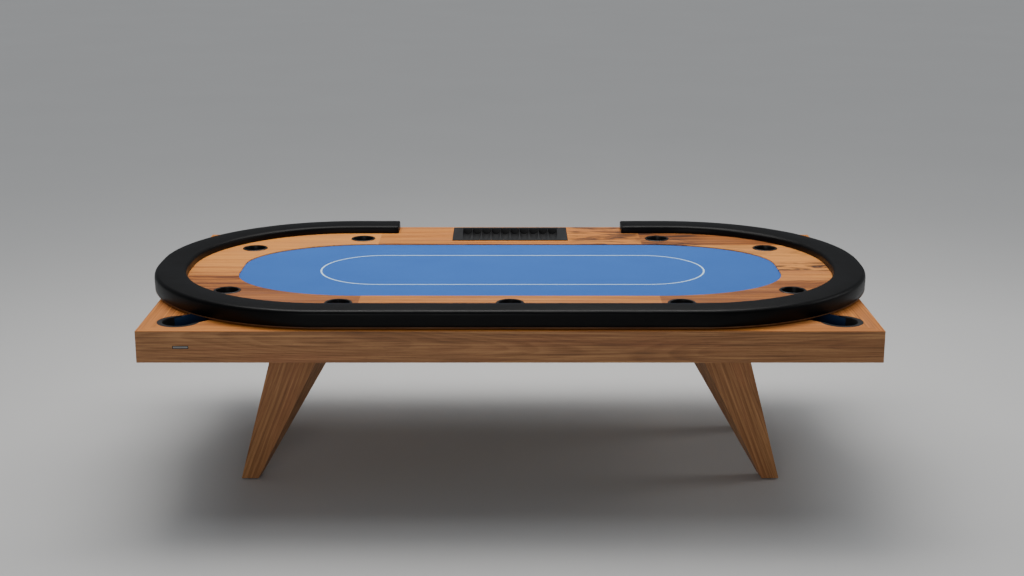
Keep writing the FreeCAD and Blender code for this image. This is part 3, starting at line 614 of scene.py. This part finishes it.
# ---- bed cloth --------------------------------------------------------------------------
def bed_sheet(material):
    """Top face of the bed cloth, cut round the pockets, stretched over the slate."""
    source = NODES["bed_cloth"]
    piece = bpy.data.objects.new("bed_cloth_sheet", source.data.copy())
    bpy.context.scene.collection.objects.link(piece)
    piece.matrix_world = source.matrix_world.copy()
    work = bmesh.new()
    work.from_mesh(piece.data)
    bmesh.ops.remove_doubles(work, verts=work.verts, dist=0.00002)
    top = max((piece.matrix_world @ v.co).z for v in work.verts)
    lower = [f for f in work.faces if min((piece.matrix_world @ v.co).z for v in f.verts) < top - 0.0002]
    bmesh.ops.delete(work, geom=lower, context="FACES")
    area = sum(f.calc_area() for f in work.faces)
    work.to_mesh(piece.data)
    work.free()
    dress(piece, material)
    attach(piece, "base")
    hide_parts("bed_cloth")
    return piece


# ---- cup holders ------------------------------------------------------------------------
FLANGE_REACH = 0.0091       # from the cup's inner wall to the edge of its flange
WALL_TAPER = 0.0054         # the inner wall draws in by this down to the floor


def cup_holders(material):
    for number in range(1, 10):
        node = "cup_%d" % number
        low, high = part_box(node)
        centre = ((low.x + high.x) / 2, (low.y + high.y) / 2)
        flange = (high.x - low.x) / 2
        lip = high.z
        seat = race_top
        mouth = flange - FLANGE_REACH
        foot = flange - FLANGE_REACH - WALL_TAPER
        floor = low.z
        outline = [(0.0, floor + 0.0006), (foot - 0.004, floor + 0.0006), (foot - 0.003, floor),
                   (foot, floor), (foot + 0.0012, floor + 0.0015), (mouth + 0.0014, seat - 0.002),
                   (mouth + 0.0016, seat + 0.0002), (flange - 0.0006, seat + 0.0002),
                   (flange, seat + 0.0008), (flange - 0.0006, lip - 0.0008),
                   (flange - 0.002, lip - 0.0001), (flange - 0.0035, lip),
                   (mouth + 0.0006, lip - 0.0003), (mouth - 0.0002, lip - 0.0012),
                   (mouth - 0.0006, lip - 0.004), (foot - 0.0004, floor + 0.006),
                   (foot - 0.0012, floor + 0.0032), (foot - 0.003, floor + 0.002),
                   (foot - 0.012, floor + 0.0018),
                   (foot - 0.0125, floor + 0.0022), (0.0, floor + 0.0022)]
        piece = lathe("cup_holder_%d" % number, outline, centre, material, node)
        crease_by_angle(piece, 40)
        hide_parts(node)


# ---- stage, light and camera ------------------------------------------------------------
WORLD_STRENGTH = 0.16
CEILING_STRENGTH = 1.15
CEILING_SPREAD = 55         # degrees
CEILING_TILT = -15          # degrees; the light comes a little from behind


def stage():
    size = 45.0
    verts = [(-size, -size, 0), (size, -size, 0), (size, size, 0), (-size, size, 0)]
    mesh = bpy.data.meshes.new("floor")
    mesh.from_pydata(verts, [], [(0, 1, 2, 3)])
    floor = bpy.data.objects.new("floor", mesh)
    bpy.context.scene.collection.objects.link(floor)
    g = Graph("floor")
    tone = g.noise(g.place(), 0.8, 3.0)
    colour = g.mix(tone, (0.60, 0.60, 0.595, 1), (0.64, 0.64, 0.635, 1))
    floor.data.materials.append(g.finish(colour, 0.62, specular=0.25))


def area_light(name, place, target, size, energy, tint=(1, 1, 1)):
    light = bpy.data.lights.new(name, "AREA")
    light.shape = "RECTANGLE"
    light.size, light.size_y = size
    light.energy = energy
    light.color = tint
    obj = bpy.data.objects.new(name, light)
    bpy.context.scene.collection.objects.link(obj)
    obj.location = place
    obj.rotation_euler = (Vector(target) - Vector(place)).to_track_quat("-Z", "Y").to_euler()


def lights():
    area_light("key", (-0.2, 0.8, 3.7), (0, 0.1, 0.7), (3.6, 1.8), 118, (1.0, 0.97, 0.93))
    area_light("fill", (-0.9, -5.4, 1.9), (0, 0, 0.5), (2.8, 1.6), 36)
    area_light("side", (4.6, 0.6, 2.6), (0, 0, 0.7), (1.6, 1.6), 22)
    sky = bpy.data.lights.new("ceiling", "SUN")
    sky.energy = CEILING_STRENGTH
    sky.angle = math.radians(CEILING_SPREAD)
    sky.color = (0.97, 0.985, 1.0)
    obj = bpy.data.objects.new("ceiling", sky)
    bpy.context.scene.collection.objects.link(obj)
    obj.location = (0, 0, 4)
    obj.rotation_euler = (math.radians(CEILING_TILT), 0, 0)
    world = bpy.data.worlds.new("studio")
    bpy.context.scene.world = world
    world.use_nodes = True
    background = world.node_tree.nodes["Background"]
    background.inputs["Color"].default_value = (0.9, 0.94, 1.0, 1)
    background.inputs["Strength"].default_value = WORLD_STRENGTH


SENSOR_WIDTH = 36.0         # millimetres
LENS = 56.25                # millimetres
CAMERA_BACK = 5.439         # from the front apron
CAMERA_UP = 1.592           # above the deck
CAMERA_DOWN = 14.76         # degrees


def camera():
    data = bpy.data.cameras.new("camera")
    data.sensor_width = SENSOR_WIDTH
    data.lens = LENS
    data.shift_x = 0.0019
    data.clip_end = 200
    obj = bpy.data.objects.new("camera", data)
    bpy.context.scene.collection.objects.link(obj)
    obj.location = (0.0, FRONT_Y - CAMERA_BACK, DECK_TOP + CAMERA_UP)
    obj.rotation_euler = (math.radians(90 - CAMERA_DOWN), 0, 0)
    bpy.context.scene.camera = obj


# ---- put it together --------------------------------------------------------------------
camera()
stage()
lights()

blue = cloth("speed_cloth", (0.025, 0.132, 0.47), (0.019, 0.110, 0.42), LINE)
# The bed cloth, cushions and pocket facings get a deep navy far darker than the speed cloth above: painted
# shade for the deep shadow the poker top casts over them.
bed_blue_painted_shade = cloth("bed_cloth", (0.016, 0.045, 0.115), (0.012, 0.036, 0.095))
black_vinyl = vinyl()
cup_black = moulded("cup_plastic", (0.0045, 0.0045, 0.005), 0.32, 700.0, 0.00003, 0.4)
tray_black = moulded("tray_plastic", (0.009, 0.009, 0.0095), 0.42, 1100.0, 0.00008, 0.35)
rubber = moulded("rubber", (0.012, 0.012, 0.012), 0.7, 800.0, 0.00012, 0.3)
ring_metal = moulded("pocket_metal", (0.016, 0.0165, 0.017), 0.36, 900.0, 0.00003, 0.45, 0.2)
steel = brushed("steel", (0.50, 0.51, 0.53), 0.32)
ply = plywood("subframe_wood")

PLANKS = {"left": (-0.400, -0.105, 0.030, 0.400), "right": (-0.400, -0.196, -0.037, 0.096, 0.400)}
FIGURE = {"rear": [(0.27, 0.56, 0.42, 0.80, 0.03, 0.9)],
          "right": [(0.5, 0.82, 0.40, 0.80, 0.06, 0.85), (0.9, 1.6, -0.037, 0.096, 0.04, 1.0),
                    (0.85, 1.6, 0.20, 0.40, 0.1, 0.3)]}
for side in SIDES:
    grain = "X" if side in ("front", "rear") else "Y"
    seed = SIDES.index(side) + 1.0
    dress(NODES["apron_" + side], walnut("walnut_apron_" + side, GRAIN_TURNS[grain], seed,
                                         (0, -0.70, 0.690), 0.86, spread=0.7, ring_share=0.07, contrast=1.6,
                                         shades=PLAIN))
    dress(NODES["rail_" + side], walnut("walnut_rail_" + side, GRAIN_TURNS[grain], seed + 5.3, (0, 0.3, 0.60),
                                        contrast=1.3, tone=1.08))
    dress(NODES["racetrack_" + side], walnut("walnut_racetrack_" + side, GRAIN_TURNS["X"], 11.0,
                                             (0, -0.15, 0.70), 1.05, PLANKS.get(side, ()), FIGURE.get(side, ()),
                                             contrast=1.7, plank_contrast=0.4))
# The base board's walnut grain is its own, but its tone of 0.5 is painted shade for the shadow under the
# armrest's overhang.
dress(NODES["base_board"], walnut("walnut_board_painted_shade", GRAIN_TURNS["X"], 3.3, (0, 0.1, 0.60), 0.5,
                                  shades=PLAIN))
for corner in CORNERS:
    sign = 1 if "left" in corner else -1
    lean = sign * math.radians(21.5)
    seed = 20.0 + CORNERS.index(corner) * 2.3
    dress(NODES["leg_" + corner], walnut("walnut_leg_" + corner, (0, math.radians(90) - lean, 0), seed,
                                         (0, -0.2, 0.62), 1.05, knots=1.0, spread=1.6, ring_share=0.1,
                                         contrast=1.3, shades=PLAIN))
    dress(NODES["leveller_" + corner], rubber)
# The cushions, pocket facings and bed cloth take the navy that is darkened with painted shade.
for node in ["cushion_front_left", "cushion_front_right", "cushion_rear_left", "cushion_rear_right",
             "cushion_left", "cushion_right"]:
    pad = softened(node, node + "_cloth", 0.0025, 3, bed_blue_painted_shade, "base")
facing_pad = softened("pocket_facings", "pocket_facings_cloth", 0.0012, 2, bed_blue_painted_shade, "base")
bed_sheet(bed_blue_painted_shade)
dress(NODES["slate_bed"], slate())
dress(NODES["pocket_rings"], ring_metal)
for pocket in POCKETS:
    dress(NODES["pocket_bucket_" + pocket], rubber)
for node in ("subframe", "armrest_core", "locating_blocks"):
    dress(NODES[node], ply)
for node in ("leg_brackets", "leg_bolts", "armrest_bolts"):
    dress(NODES[node], steel)
dress(NODES["name_plate"], plate())
dress(NODES["field_foam"], foam())
dress(NODES["top_pads"], rubber)
dress(NODES["chip_tray"], tray_black)

padded_armrest(black_vinyl)
field_sheet(blue)
cup_holders(cup_black)
